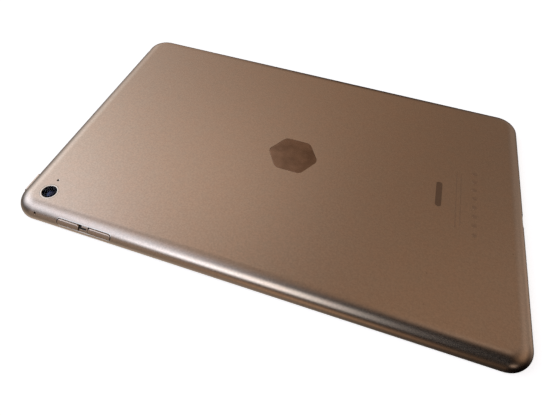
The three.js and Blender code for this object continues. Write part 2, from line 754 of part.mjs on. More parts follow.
addPiece("port_cable", flatCable(-8, -42), AMBER_FILM, [PORT.bodyX0 - 0.3, -3, 3.2]);
for (const [label, side] of [
  ["left", -1],
  ["right", 1],
]) {
  const film = plate(ANTENNA.length, ANTENNA.width, 0.5, ANTENNA.thick);
  addPiece(label + "_antenna", film, AMBER_FILM, [ANTENNA.x, side * ANTENNA.y, ANTENNA.z]);
}
for (let i = 0; i < MAGNET_ROW.count; i++) {
  const x = MAGNET_ROW.first + MAGNET_ROW.pitch * i;
  addPiece("cover_magnet_" + (i + 1), magnet(), MAGNET_GREY, [x, MAGNET.y, MAGNET.z]);
}

// ---- Screws ----

// A small machine screw: head below, thread pointing to the back.
function screw(length) {
  const { r, thick } = SCREW_HEAD;
  const recess = 0.2;
  const profile = [
    new THREE.Vector2(0, recess),
    new THREE.Vector2(r / 2, 0),
    new THREE.Vector2(r, 0),
    new THREE.Vector2(r, thick),
    new THREE.Vector2(SCREW_R, thick),
    new THREE.Vector2(SCREW_R, thick + length),
    new THREE.Vector2(0, thick + length),
  ];
  return new THREE.LatheGeometry(profile, SCREW_SIDES).rotateX(Math.PI / 2);
}

// Puts a screw at each place, its head just under the piece it holds.
function addScrews(label, places, length, bottom) {
  places.forEach(([x, y], i) => {
    addPiece(label + "_screw_" + (i + 1), screw(length), STEEL, [x, y, bottom - SCREW_HEAD.thick - HAIR]);
  });
}

addScrews("board", BOARD_SCREWS, 1.6, BOARD.z0);
addScrews("port", PORT_SCREWS, 1.9, PORT.earBottom);

export default tablet;
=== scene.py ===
"""Looks of a slim tablet computer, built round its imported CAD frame.

The rear case, its openings, the buttons, the camera and the glass side are fine meshes made here. The
parts inside keep their CAD meshes and get materials. Lengths are in metres, and MM turns millimetres
into metres. +Z points out of the aluminium back, and -Y is the side with the volume buttons.
"""

import json
import math

import bmesh
import bpy
from mathutils import Matrix, Vector


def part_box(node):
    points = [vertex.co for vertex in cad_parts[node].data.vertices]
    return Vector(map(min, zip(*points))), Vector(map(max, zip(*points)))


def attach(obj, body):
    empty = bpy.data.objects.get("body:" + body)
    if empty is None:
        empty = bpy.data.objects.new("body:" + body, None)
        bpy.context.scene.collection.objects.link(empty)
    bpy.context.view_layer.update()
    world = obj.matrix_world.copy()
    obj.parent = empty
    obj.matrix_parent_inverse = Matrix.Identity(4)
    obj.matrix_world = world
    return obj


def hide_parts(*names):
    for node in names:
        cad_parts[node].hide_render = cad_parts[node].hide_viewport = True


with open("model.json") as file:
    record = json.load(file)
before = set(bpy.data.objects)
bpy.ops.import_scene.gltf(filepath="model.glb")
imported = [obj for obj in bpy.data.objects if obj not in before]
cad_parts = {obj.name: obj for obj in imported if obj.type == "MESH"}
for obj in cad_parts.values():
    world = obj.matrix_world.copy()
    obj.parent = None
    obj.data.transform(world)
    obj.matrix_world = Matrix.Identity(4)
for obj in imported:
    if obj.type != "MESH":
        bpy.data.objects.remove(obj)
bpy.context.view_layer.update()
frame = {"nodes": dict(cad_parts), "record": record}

MM = 0.001

# ---- Sizes from the frame ----

CASE_LOW, CASE_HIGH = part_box("rear_case")
HALF_LENGTH = CASE_HIGH.x
HALF_WIDTH = CASE_HIGH.y
TOP = CASE_HIGH.z
RIM = CASE_LOW.z

# ---- Sizes of the case's form ----

CORNER_R = 10.2 * MM
MIN_CORNER_R = 0.3 * MM
EDGE_INSET = 6.9 * MM  # how far the rounded edge reaches in from the outline
EDGE_START = 0.9 * MM  # the height where the rounded edge starts
HOLLOW_INSET = 5.5 * MM
HOLLOW_START = 1.4 * MM
SIDE_WALL = 2.0 * MM
BACK_SKIN = 0.8 * MM
SEAT_INSET = 0.8 * MM
SEAT_TOP = 0.98 * MM
CHAMFER = 0.35 * MM
HAIR = 0.01 * MM
EASE = 0.05 * MM  # how far a sharp edge of the rim is eased
LIP = 0.12 * MM  # thickness of the case's lip round the window between the volume buttons
TRIM = 0.24 * MM  # width of the polished bead round an opening
TRIM_CROWN = 0.02 * MM  # how far the bead stands out of the case
TRIM_STEPS = 6

ARC_STEPS = 24  # steps round a corner
EDGE_STEPS = 28  # steps up the rounded edge
HOLLOW_STEPS = 12
LONG_STEPS = 40
SHORT_STEPS = 28
LOOP_STEPS = 64  # steps round an opening
SMALL_LOOP_STEPS = 32
DOT_STEPS = 24
RING_STEPS = 96
FINE_RING_STEPS = 128
FILLET_STEPS = 8


def centre(node):
    """The middle of a CAD node's box."""
    low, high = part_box(node)
    return (low + high) / 2


def size(node):
    """The size of a CAD node's box along X, Y and Z."""
    low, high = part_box(node)
    return high - low


# ---- Outlines ----


def case_outline(inset):
    """The case's outline, `inset` inside its widest line, always with the same number of points."""
    radius = max(CORNER_R - inset, MIN_CORNER_R)
    reach_x = HALF_LENGTH - inset - radius
    reach_y = HALF_WIDTH - inset - radius
    corners = []
    for sign_x, sign_y, start in ((1, 1, 0.0), (-1, 1, 0.5), (-1, -1, 1.0), (1, -1, 1.5)):
        middle = Vector((sign_x * reach_x, sign_y * reach_y))
        angles = [(start + 0.5 * step / ARC_STEPS) * math.pi for step in range(ARC_STEPS + 1)]
        corners.append([middle + radius * Vector((math.cos(a), math.sin(a))) for a in angles])
    points = []
    for index, corner in enumerate(corners):
        following = corners[(index + 1) % 4][0]
        count = (LONG_STEPS, SHORT_STEPS)[index % 2]
        points += corner
        points += [corner[-1].lerp(following, step / count) for step in range(1, count)]
    return points


def pill(half_length, radius, steps=LOOP_STEPS):
    """A slot's outline with half-circle ends. With half_length = radius it is a circle."""
    reach = half_length - radius
    points = []
    for step in range(steps):
        angle = 2 * math.pi * (step + 0.5) / steps
        side = 1 if math.cos(angle) > 0 else -1
        points.append(Vector((side * reach + radius * math.cos(angle), radius * math.sin(angle))))
    return points


def edge_inset(height, proud=0.0):
    """How far in from the outline the rounded edge lies at a height; proud moves the surface outward."""
    rise = min(max((height - EDGE_START) / (TOP + proud - EDGE_START), 0.0), 1.0)
    return EDGE_INSET * (1 - math.sqrt(1 - rise * rise)) - proud


# ---- Mesh building ----


def smooth(mesh, angle):
    """Smooth shading, except across edges sharper than an angle in degrees."""
    mesh.shade_smooth()
    mesh.set_sharp_from_angle(angle=math.radians(angle))


def finish_mesh(name, work, smooth_angle):
    """Turns a bmesh into an object."""
    mesh = bpy.data.meshes.new(name)
    work.to_mesh(mesh)
    work.free()
    obj = bpy.data.objects.new(name, mesh)
    bpy.context.scene.collection.objects.link(obj)
    smooth(mesh, smooth_angle)
    return obj


def level(outline, height):
    """An outline's points, raised to one height."""
    return [Vector((p.x, p.y, height)) for p in outline]


def loft(name, loops, closed=False, smooth_angle=30):
    """Joins loops of 3-D points into a skin with two caps, or, closed, into a ring without caps."""
    work = bmesh.new()
    rows = [[work.verts.new(point) for point in loop] for loop in loops]
    count = len(rows[0])
    pairs = list(zip(rows, rows[1:]))
    if closed:
        pairs.append((rows[-1], rows[0]))
    for lower, upper in pairs:
        for index in range(count):
            following = (index + 1) % count
            work.faces.new((lower[index], lower[following], upper[following], upper[index]))
    if not closed:
        work.faces.new(rows[0][::-1])
        work.faces.new(rows[-1])
    bmesh.ops.recalc_face_normals(work, faces=work.faces)
    return finish_mesh(name, work, smooth_angle)


def lathe(name, profile, middle, steps=RING_STEPS, smooth_angle=30):
    """Turns a closed or axis-to-axis profile of (radius, height) points about a vertical axis."""
    work = bmesh.new()
    rows = []
    for radius, height in profile:
        if radius == 0:
            rows.append([work.verts.new((middle.x, middle.y, height))])
            continue
        row = []
        for step in range(steps):
            angle = 2 * math.pi * step / steps
            x = middle.x + radius * math.cos(angle)
            y = middle.y + radius * math.sin(angle)
            row.append(work.verts.new((x, y, height)))
        rows.append(row)
    pairs = list(zip(rows, rows[1:]))
    if profile[0][0] > 0:
        pairs.append((rows[-1], rows[0]))
    for lower, upper in pairs:
        for step in range(steps):
            following = (step + 1) % steps
            corners = [lower[step % len(lower)], lower[following % len(lower)]]
            corners += [upper[following % len(upper)], upper[step % len(upper)]]
            work.faces.new(list(dict.fromkeys(corners)))
    bmesh.ops.recalc_face_normals(work, faces=work.faces)
    return finish_mesh(name, work, smooth_angle)


def arc(middle, radius, start, end, steps=FILLET_STEPS):
    """Points on an arc of a (radius, height) profile; angles in degrees."""
    points = []
    for step in range(steps + 1):
        angle = math.radians(start + (end - start) * step / steps)
        points.append((middle[0] + radius * math.cos(angle), middle[1] + radius * math.sin(angle)))
    return points


def quarter_round(radius, steps):
    """How far in and how far down the points of a quarter-round edge lie, from its side to its face."""
    angles = [0.5 * math.pi * step / steps for step in range(steps + 1)]
    return [(radius * (1 - math.cos(angle)), radius * (1 - math.sin(angle))) for angle in angles]


def crown(radius, base, rise, steps):
    """(radius, height) points over a crown, or over a dish, from near its rim to its middle."""
    shares = [1 - step / steps for step in range(1, steps + 1)]
    return [(radius * share, base + rise * (1 - share * share)) for share in shares]


def merge(name, objects, smooth_angle=30):
    """Joins several objects' meshes into one new object and removes the old ones."""
    work = bmesh.new()
    for obj in objects:
        work.from_mesh(obj.data)
        bpy.data.objects.remove(obj)
    return finish_mesh(name, work, smooth_angle)


def subtract(obj, *cutters):
    """Cuts each cutter out of obj and removes the cutters."""
    for cutter in cutters:
        modifier = obj.modifiers.new("cut", "BOOLEAN")
        modifier.operation = "DIFFERENCE"
        modifier.solver = "EXACT"
        modifier.object = cutter
        graph = bpy.context.evaluated_depsgraph_get()
        mesh = bpy.data.meshes.new_from_object(obj.evaluated_get(graph))
        obj.modifiers.clear()
        obj.data = mesh
        bpy.data.objects.remove(cutter)


# ---- Places on the edges ----


class EdgeFace:
    """A stretch of the rounded edge: turns a place along the edge and a height into a 3-D point.

    outward is the edge's horizontal direction, and along is the direction of the first coordinate.
    """

    def __init__(self, outward, along, half):
        self.outward = Vector(outward)
        self.along = Vector(along)
        self.half = half

    def on_surface(self, place, height, sink=0.0, proud=0.0):
        """A point on the rounded edge, moved in by sink."""
        distance = self.half - edge_inset(height, proud) - sink
        return self.at(place, height, distance)

    def at(self, place, height, distance):
        """A point at a given distance from the middle of the tablet."""
        point = self.along * place + self.outward * distance
        point.z = height
        return point

    def patch(self, outline, place, height, sink, proud=0.0):
        """An outline laid on the rounded edge, moved in by sink."""
        return [self.on_surface(place + p.x, height + p.y, sink, proud) for p in outline]

    def ring(self, outline, place, height, distance):
        """An outline standing upright at a given distance from the middle of the tablet."""
        return [self.at(place + p.x, height + p.y, distance) for p in outline]


VOLUME_EDGE = EdgeFace((0, -1, 0), (1, 0, 0), HALF_WIDTH)
POWER_EDGE = EdgeFace((-1, 0, 0), (0, 1, 0), HALF_LENGTH)
CHARGING_EDGE = EdgeFace((1, 0, 0), (0, 1, 0), HALF_LENGTH)

CLEAR = 2 * MM  # how far a cutter starts outside the case
OVERCUT = 0.4 * MM  # how far a cutter runs below the skin of the back


def edge_cutter(face, outline, place, height, reach):
    """A bar that cuts an outline into an edge, down to `reach` from the middle of the tablet."""
    ends = (face.half + CLEAR, reach)
    return loft("cutter", [face.ring(outline, place, height, distance) for distance in ends])


CAP_SHARES = (1.0, 0.8, 0.6, 0.4, 0.2, 0.03)  # a cap's loops, as shares of its radius


def curved_cap(face, half_length, radius, place, height, sink, proud=0.0):
    """Nested pill loops that fill a pill-shaped patch of the rounded edge."""
    loops = []
    for share in CAP_SHARES:
        outline = pill(half_length - radius * (1 - share), radius * share)
        loops.append(face.patch(outline, place, height, sink, proud))
    return loops


def trench_cutter(face, half_length, radius, place, height, sink):
    """Cuts a pill-shaped trench whose floor follows the rounded edge, `sink` below it."""
    mouth = face.ring(pill(half_length, radius), place, height, face.half + CLEAR)
    return loft("cutter", [mouth] + curved_cap(face, half_length, radius, place, height, sink))


def edge_plug(name, face, half_length, radius, place, height, sink, inner):
    """A pill-shaped plug whose face follows the rounded edge, `sink` below it, back to `inner`."""
    back = face.ring(pill(half_length, radius), place, height, inner)
    return loft(name, [back] + curved_cap(face, half_length, radius, place, height, sink))


def edge_trim(face, half_length, radius, place, height, depth, steps=LOOP_STEPS):
    """A polished, slightly raised bead round an opening in an edge, with a short sleeve behind it."""
    loops = []
    for step in range(TRIM_STEPS + 1):
        angle = math.pi * step / TRIM_STEPS
        width = TRIM * (1 + math.cos(angle)) / 2
        outline = pill(half_length + width, radius + width, steps)
        loops.append(face.patch(outline, place, height, -TRIM_CROWN * math.sin(angle)))
    for width in (0.0, TRIM):
        outline = pill(half_length + width, radius + width, steps)
        loops.append(face.patch(outline, place, height, depth))
    return loft("trim", loops, closed=True, smooth_angle=50)


# ---- Openings of the case ----

GAP = 0.3 * MM  # running gap round a side button
FLANGE_OVERLAP = 0.6 * MM  # a button's hidden flange is this much longer at each end
FLANGE_RADIUS = 0.93 * MM
VOLUME_UP = centre("volume_up_button")
VOLUME_DOWN = centre("volume_down_button")
VOLUME_HALF = size("volume_up_button").x / 2 - FLANGE_OVERLAP
VOLUME_RADIUS = 0.9 * MM
VOLUME_PROUD = 0.1 * MM  # how far a button stands out of the rounded edge
POWER = centre("power_button")
POWER_HALF = size("power_button").y / 2 - FLANGE_OVERLAP
POWER_RADIUS = 0.95 * MM
POWER_PROUD = 0.32 * MM
SLOT_RADIUS = VOLUME_RADIUS + GAP
SLOT_MIDDLE = (VOLUME_UP.x + VOLUME_DOWN.x) / 2
SLOT_HALF = (VOLUME_DOWN.x - VOLUME_UP.x) / 2 + VOLUME_HALF + GAP
SLOT_SINK = 0.2 * MM  # the wall between the two volume buttons lies this deep in their slot
VOLUME_FILLET = 0.13 * MM
POWER_FILLET = 0.08 * MM
FLANGE_THICK = 0.4 * MM
POCKET_FRONT = 64.4 * MM  # where the hollow behind the volume buttons starts
# Two corners of the hollow behind each set of buttons.
VOLUME_POCKET = ((-82 * MM, -POCKET_FRONT, 1.6 * MM), (-53 * MM, -62 * MM, 4.6 * MM))
POWER_POCKET = ((-99 * MM, -59.2 * MM, 1.4 * MM), (-96.5 * MM, -45.8 * MM, 4.2 * MM))
# How near to the tablet's middle each opening in an edge reaches.
POWER_REACH = 98.5 * MM
SOCKET_REACH = 96 * MM
SOUND_REACH = 98 * MM
MIC_REACH = 64 * MM

CAMERA = centre("camera_trim_ring")
CAMERA_HOLE_R = size("camera_trim_ring").x / 2 + 0.15 * MM
CAMERA_RING_GAP = 0.05 * MM
REAR_MIC = Vector((centre("rear_microphone").x, centre("rear_microphone").y))
SIDE_MIC = centre("side_microphone")
MIC_R = 0.48 * MM
MIC_TRIM = 0.14 * MM
SIDE_MESH_SINK = 0.5 * MM
REAR_MESH_SINK = 0.45 * MM
MESH_THICK = 0.1 * MM
MESH_CROWN = 0.03 * MM
JACK = centre("headphone_jack")
JACK_R = 1.8 * MM
PORT_HEIGHT = 3.1 * MM
PORT_HALF = 3.9 * MM
PORT_R = 1.24 * MM
SOUND_COUNT = 12
SOUND_PITCH = 1.85 * MM
SOUND_FIRST = 12 * MM
SOUND_R = 0.6 * MM
SOUND_HEIGHT = 3.1 * MM
SOUND_HOLE_R = SOUND_R - TRIM / 2
EMBLEM_R = size("emblem_inlay").x / 2
EMBLEM_CORNER = 0.3 * EMBLEM_R
EMBLEM_CORNER_STEPS = 12
EMBLEM_GAP = 0.04 * MM
EMBLEM_FILLET = 0.1 * MM
EMBLEM_FILLET_STEPS = 5


def sound_places():
    """The places along the charging edge of every sound hole."""
    row = [SOUND_FIRST + index * SOUND_PITCH for index in range(SOUND_COUNT)]
    return [-place for place in reversed(row)] + row


def emblem_outline(grow=0.0):
    """A plain hexagon with well-rounded corners."""
    reach = EMBLEM_R - EMBLEM_CORNER
    radius = EMBLEM_CORNER + grow
    points = []
    for side in range(6):
        middle = side * math.pi / 3
        for step in range(EMBLEM_CORNER_STEPS + 1):
            angle = middle + (step / EMBLEM_CORNER_STEPS - 0.5) * math.pi / 3
            x = reach * math.cos(middle) + radius * math.cos(angle)
            y = reach * math.sin(middle) + radius * math.sin(angle)
            points.append(Vector((x, y)))
    return points


def upright_cutter(outline, low, high):
    """A bar along Z between two heights."""
    return loft("cutter", [level(outline, height) for height in (low, high)])


def circle(middle, radius, steps=LOOP_STEPS):
    """A round outline about a place seen from above."""
    return [Vector((middle.x, middle.y)) + p for p in pill(radius, radius, steps)]


def box_cutter(low, high):
    """A block between two corners."""
    corners = [(low[0], low[1]), (high[0], low[1]), (high[0], high[1]), (low[0], high[1])]
    return upright_cutter([Vector(corner) for corner in corners], low[2], high[2])


def shallow_cutter():
    """Every opening's mouth: they are clear of each other, so one mesh holds them all."""
    below_skin = TOP - BACK_SKIN - OVERCUT
    above = TOP + MM
    power = pill(POWER_HALF + GAP + TRIM, POWER_RADIUS + GAP + TRIM)
    port = pill(PORT_HALF + TRIM, PORT_R + TRIM)
    jack = pill(JACK_R + TRIM, JACK_R + TRIM)
    side_mic = pill(MIC_R, MIC_R, SMALL_LOOP_STEPS)
    slot = (SLOT_HALF + TRIM, SLOT_RADIUS + TRIM, SLOT_MIDDLE, VOLUME_UP.z, SLOT_SINK)
    emblem_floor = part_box("emblem_inlay")[0].z - HAIR
    cutters = [
        upright_cutter(circle(CAMERA, CAMERA_HOLE_R, RING_STEPS), below_skin, above),
        upright_cutter(circle(REAR_MIC, MIC_R + MIC_TRIM, SMALL_LOOP_STEPS), below_skin, above),
        upright_cutter(emblem_outline(EMBLEM_GAP), emblem_floor, above),
        trench_cutter(VOLUME_EDGE, *slot),
        edge_cutter(VOLUME_EDGE, side_mic, SIDE_MIC.x, SIDE_MIC.z, MIC_REACH),
        edge_cutter(POWER_EDGE, power, POWER.y, POWER.z, POWER_REACH),
        edge_cutter(POWER_EDGE, jack, JACK.y, JACK.z, SOCKET_REACH),
        edge_cutter(CHARGING_EDGE, port, 0, PORT_HEIGHT, SOCKET_REACH),
    ]
    sound = pill(SOUND_R + TRIM / 2, SOUND_R + TRIM / 2, DOT_STEPS)
    for place in sound_places():
        cutters.append(edge_cutter(CHARGING_EDGE, sound, place, SOUND_HEIGHT, SOUND_REACH))
    return merge("cutter", cutters)


# Between the volume buttons: a lip below, a bridge above and a post at the far end leave this window.
WINDOW_LEFT = -69.35 * MM
BRIDGE_LEFT = -68.4 * MM
WINDOW_RIGHT = -66.2 * MM
POST_RIGHT = -65.6 * MM
WINDOW_LOW = 2.95 * MM
WINDOW_HIGH = 3.7 * MM
UNDERCUT_SPARE = 0.45 * MM  # how much wider than the window the hollow behind it is, at each end
UNDERCUT_BACK = POCKET_FRONT - 0.5 * MM
# The plug behind the window between the volume buttons is painted shade: a black piece that stands in for
# the dark hollow seen there.
SHADE_PLUG_SPARE = 0.1 * MM
SHADE_PLUG_SINK = SLOT_SINK + 0.2 * MM
SHADE_PLUG_BACK = POCKET_FRONT + 0.2 * MM


def half_pill(side, straight_end):
    """The slot's outline at one end, cut straight across at a given place. side is -1 or 1."""
    outline = []
    for step in range(SMALL_LOOP_STEPS + 1):
        angle = math.pi * (step / SMALL_LOOP_STEPS - 0.5)
        x = SLOT_MIDDLE + side * (SLOT_HALF - SLOT_RADIUS + SLOT_RADIUS * math.cos(angle))
        outline.append(Vector((x, VOLUME_UP.z + SLOT_RADIUS * math.sin(angle))))
    return outline + [Vector((straight_end, VOLUME_UP.z + rise)) for rise in (SLOT_RADIUS, -SLOT_RADIUS)]


def socket_cutters():
    """The deep sockets of the two volume buttons, with the small window between them."""
    corners = [(BRIDGE_LEFT, WINDOW_HIGH), (WINDOW_RIGHT, WINDOW_HIGH), (WINDOW_RIGHT, WINDOW_LOW)]
    corners += [(WINDOW_LEFT, WINDOW_LOW), (WINDOW_LEFT, VOLUME_UP.z - SLOT_RADIUS)]
    first = half_pill(-1, BRIDGE_LEFT)[:-1] + [Vector(corner) for corner in corners]
    second = half_pill(1, POST_RIGHT)
    return [edge_cutter(VOLUME_EDGE, outline, 0, 0, POCKET_FRONT - MM) for outline in (first, second)]


def window_plug(name, spare, sink, inner):
    """A plug behind the small window between the volume buttons, wider than the window by `spare`."""
    half = (WINDOW_RIGHT - WINDOW_LEFT) / 2 + spare
    place = (WINDOW_LEFT + WINDOW_RIGHT) / 2
    return edge_plug(name, VOLUME_EDGE, half, SLOT_RADIUS, place, VOLUME_UP.z, sink, inner)


def case_profile():
    """(inset, height) points from the ceiling of the hollow, round the rim, to the flat back."""
    ceiling = TOP - BACK_SKIN
    rise = ceiling - HOLLOW_START
    points = []
    for step in range(HOLLOW_STEPS, -1, -1):
        angle = 0.5 * math.pi * step / HOLLOW_STEPS
        inset = SIDE_WALL + HOLLOW_INSET * (1 - math.cos(angle))
        points.append((inset, HOLLOW_START + rise * math.sin(angle)))
    points += [(SIDE_WALL, SEAT_TOP), (SEAT_INSET, SEAT_TOP), (SEAT_INSET, RIM + EASE)]
    points += [(SEAT_INSET - EASE, RIM), (CHAMFER + 2 * HAIR, RIM)]
    points += [(CHAMFER - 3 * HAIR, RIM + HAIR), (3 * HAIR, RIM + CHAMFER - 3 * HAIR)]
    points += [(0.0, RIM + CHAMFER + 4 * HAIR), (0.0, EDGE_START)]
    for step in range(1, EDGE_STEPS + 1):
        angle = 0.5 * math.pi * step / EDGE_STEPS
        height = EDGE_START + (TOP - EDGE_START) * math.sin(angle)
        points.append((EDGE_INSET * (1 - math.cos(angle)), height))
    return points


def build_case():
    """The one-piece aluminium case with all its openings."""
    loops = [level(case_outline(inset), height) for inset, height in case_profile()]
    case = loft("rear_case_shell", loops)
    pockets = merge("cutter", [box_cutter(*VOLUME_POCKET), box_cutter(*POWER_POCKET)])
    undercut = window_plug("cutter", UNDERCUT_SPARE, SLOT_SINK + LIP, UNDERCUT_BACK)
    subtract(case, shallow_cutter(), merge("cutter", socket_cutters()), undercut, pockets)
    smooth(case.data, 22)
    weighted = case.modifiers.new("even_shading", "WEIGHTED_NORMAL")
    weighted.mode = "FACE_AREA_WITH_ANGLE"
    weighted.keep_sharp = True
    weighted.weight = 80
    return case


SOCKET_SLEEVE = 1.2 * MM  # how deep a socket's polished sleeve goes
POWER_SLEEVE = 0.4 * MM
SOUND_SLEEVE = 0.5 * MM
MIC_SLEEVE = 0.6 * MM
SLOT_SLEEVE = SLOT_SINK - HAIR / 2
CRISP = 20  # degrees: the smoothing limit of the smallest trims

# Each trim's name, edge, half length, radius, place along the edge, height and sleeve.
EDGE_TRIMS = [
    ("volume_slot_trim", VOLUME_EDGE, SLOT_HALF, SLOT_RADIUS, SLOT_MIDDLE, VOLUME_UP.z, SLOT_SLEEVE),
    ("power_slot_trim", POWER_EDGE, POWER_HALF + GAP, POWER_RADIUS + GAP, POWER.y, POWER.z, POWER_SLEEVE),
    ("headphone_jack_trim", POWER_EDGE, JACK_R, JACK_R, JACK.y, JACK.z, SOCKET_SLEEVE),
    ("charging_port_trim", CHARGING_EDGE, PORT_HALF, PORT_R, 0, PORT_HEIGHT, SOCKET_SLEEVE),
]


def build_trims():
    """The polished beads round the openings."""
    trims = []
    for name, *shape in EDGE_TRIMS:
        trim = edge_trim(*shape)
        trim.name = name
        trims.append(trim)
    sounds = []
    for place in sound_places():
        shape = (CHARGING_EDGE, SOUND_HOLE_R, SOUND_HOLE_R, place, SOUND_HEIGHT, SOUND_SLEEVE)
        sounds.append(edge_trim(*shape, DOT_STEPS))
    trims.append(merge("sound_hole_trims", sounds, CRISP))
    outer = MIC_R + MIC_TRIM
    foot = TOP - MIC_SLEEVE
    profile = [(outer, TOP), (MIC_R, TOP - 4 * HAIR), (MIC_R, foot), (outer, foot)]
    trims.append(lathe("rear_microphone_trim", profile, REAR_MIC, SMALL_LOOP_STEPS, CRISP))
    return trims


def build_shade_plug_and_mic_meshes():
    """The black plug behind the window between the volume buttons, which is painted shade for the dark
    hollow there, and the microphones' dust meshes.
    """
    shade_plug = window_plug("volume_slot_gasket", SHADE_PLUG_SPARE, SHADE_PLUG_SINK, SHADE_PLUG_BACK)
    radius = MIC_R - HAIR
    shape = (radius, radius, SIDE_MIC.x, SIDE_MIC.z, SIDE_MESH_SINK, HALF_WIDTH - SIDE_WALL)
    side = edge_plug("side_microphone_mesh", VOLUME_EDGE, *shape)
    face = TOP - REAR_MESH_SINK
    base = face - MESH_THICK
    shoulder = face - MESH_CROWN
    dome = [(0, base), (radius, base), (radius, shoulder), (radius / 2, face), (0, face)]
    rear = lathe("rear_microphone_mesh", dome, REAR_MIC, SMALL_LOOP_STEPS)
    return shade_plug, side, rear


# ---- Buttons ----


def button_skin(name, face, half_length, radius, place, height, back, proud, fillet):
    """A side button: its face follows the rounded edge, with a soft rim, and a flange sits behind it."""
    flange = pill(half_length + FLANGE_OVERLAP, FLANGE_RADIUS)
    front = back + FLANGE_THICK
    steps = ((flange, back), (flange, front), (pill(half_length, radius), front))
    loops = [face.ring(outline, place, height, distance) for outline, distance in steps]
    for inset, sink in quarter_round(fillet, FILLET_STEPS)[:-1]:
        outline = pill(half_length - inset, radius - inset)
        loops.append(face.patch(outline, place, height, sink, proud))
    loops += curved_cap(face, half_length - fillet, radius - fillet, place, height, 0.0, proud)
    return loft(name, loops, smooth_angle=40)


def build_buttons():
    """The two volume buttons and the power button, each with the name of its CAD node and body."""
    made = []
    volume_back = -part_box("volume_up_button")[1].y
    for node, middle in (("volume_up_button", VOLUME_UP), ("volume_down_button", VOLUME_DOWN)):
        shape = (VOLUME_HALF, VOLUME_RADIUS, middle.x, middle.z, volume_back, VOLUME_PROUD, VOLUME_FILLET)
        made.append((button_skin(node + "_cap", VOLUME_EDGE, *shape), node))
    power_back = -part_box("power_button")[1].x
    shape = (POWER_HALF, POWER_RADIUS, POWER.y, POWER.z, power_back, POWER_PROUD, POWER_FILLET)
    made.append((button_skin("power_button_cap", POWER_EDGE, *shape), "power_button"))
    return made


# ---- Rear camera and emblem ----

RING_BEAD = 0.12 * MM
WINDOW_R = size("camera_window").x / 2
WINDOW_GAP = 0.06 * MM
WINDOW_FILLET = 0.06 * MM
MASK_INNER_R = 2.15 * MM
MASK_THICK = 0.06 * MM
MASK_GAP = 0.02 * MM
BARREL_R = size("camera_lens_barrel").x / 2
BARREL_CHAMFER = 0.05 * MM
BARREL_MOUTH_R = 1.85 * MM
BARREL_WELL = 0.28 * MM  # depth of the well that the front lens sits in
LEDGES = 5
LEDGE_WIDE = 0.06 * MM
LEDGE_DROP = 0.05 * MM
LENS_R = 1.5 * MM
LENS_SINK = 0.26 * MM
LENS_CROWN = 0.33 * MM
LENS_STEPS = 12


def build_camera_ring():
    """The polished trim ring, with rounded edges."""
    low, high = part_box("camera_trim_ring")
    outer = CAMERA_HOLE_R - CAMERA_RING_GAP
    inner = WINDOW_R + WINDOW_GAP
    profile = [(inner, low.z), (outer, low.z)]
    profile += arc((outer - RING_BEAD, high.z - RING_BEAD), RING_BEAD, 0, 90)
    profile += arc((inner + RING_BEAD, high.z - RING_BEAD), RING_BEAD, 90, 180)
    return lathe("camera_ring_polished", profile, CAMERA, FINE_RING_STEPS)


def build_camera_window():
    """The camera's glass and the black mask under its rim."""
    low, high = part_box("camera_window")
    profile = [(0, low.z), (WINDOW_R, low.z)]
    profile += arc((WINDOW_R - WINDOW_FILLET, high.z - WINDOW_FILLET), WINDOW_FILLET, 0, 90, 4)
    profile += [(0, high.z)]
    window = lathe("camera_window_glass", profile, CAMERA)
    top = low.z - MASK_GAP
    base = top - MASK_THICK
    outer = WINDOW_R - MASK_GAP
    profile = [(MASK_INNER_R, base), (outer, base), (outer, top), (MASK_INNER_R, top)]
    return window, lathe("camera_window_mask", profile, CAMERA)


def build_lens_barrel():
    """The focusing barrel, stepped inside its mouth, and the crowned lens in it."""
    low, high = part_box("camera_lens_barrel")
    profile = [(0, low.z), (BARREL_R, low.z), (BARREL_R, high.z - BARREL_CHAMFER)]
    profile += [(BARREL_R - BARREL_CHAMFER, high.z), (BARREL_MOUTH_R, high.z)]
    for step in range(LEDGES):
        ledge = BARREL_MOUTH_R - LEDGE_WIDE * step
        height = high.z - LEDGE_DROP * (step + 1)
        profile += [(ledge, height), (ledge - LEDGE_WIDE, height)]
    profile += [(0, high.z - BARREL_WELL)]
    barrel = lathe("camera_lens_barrel_turned", profile, CAMERA)
    base = high.z - LENS_SINK
    profile = [(0, base - HAIR / 2), (LENS_R, base - HAIR / 2), (LENS_R, base)]
    profile += crown(LENS_R, base, LENS_CROWN, LENS_STEPS)
    return barrel, lathe("camera_front_lens", profile, CAMERA)


def build_emblem():
    """The mirror inlay in the back, with a fine rounded edge."""
    low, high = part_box("emblem_inlay")
    loops = [level(emblem_outline(), low.z)]
    for inset, drop in quarter_round(EMBLEM_FILLET, EMBLEM_FILLET_STEPS):
        loops.append(level(emblem_outline(-inset), high.z - drop))
    return loft("emblem_inlay_polished", loops)


# ---- Glass side ----

GLASS_FILLET = 0.3 * MM
GLASS_FILLET_STEPS = 7
HOME = centre("home_button_ring")
HOME_RING_R = size("home_button_ring").x / 2
HOME_HOLE_R = HOME_RING_R + 0.2 * MM
HOME_HOLE_FLARE = 0.15 * MM
HOME_DISH = 0.14 * MM  # depth of the home button's dish
HOME_DISH_STEPS = 10
HOME_CHAMFER = 0.03 * MM
BEZEL_GAP = 0.08 * MM
BEZEL_BEAD = 0.15 * MM
BEZEL_LIP = 0.2 * MM
FRONT_CAMERA_R = 1.6 * MM
FRONT_CAMERA_THICK = 0.1 * MM
FRONT_CAMERA_PROUD = 0.004 * MM
FRONT_LENS_R = 0.6 * MM


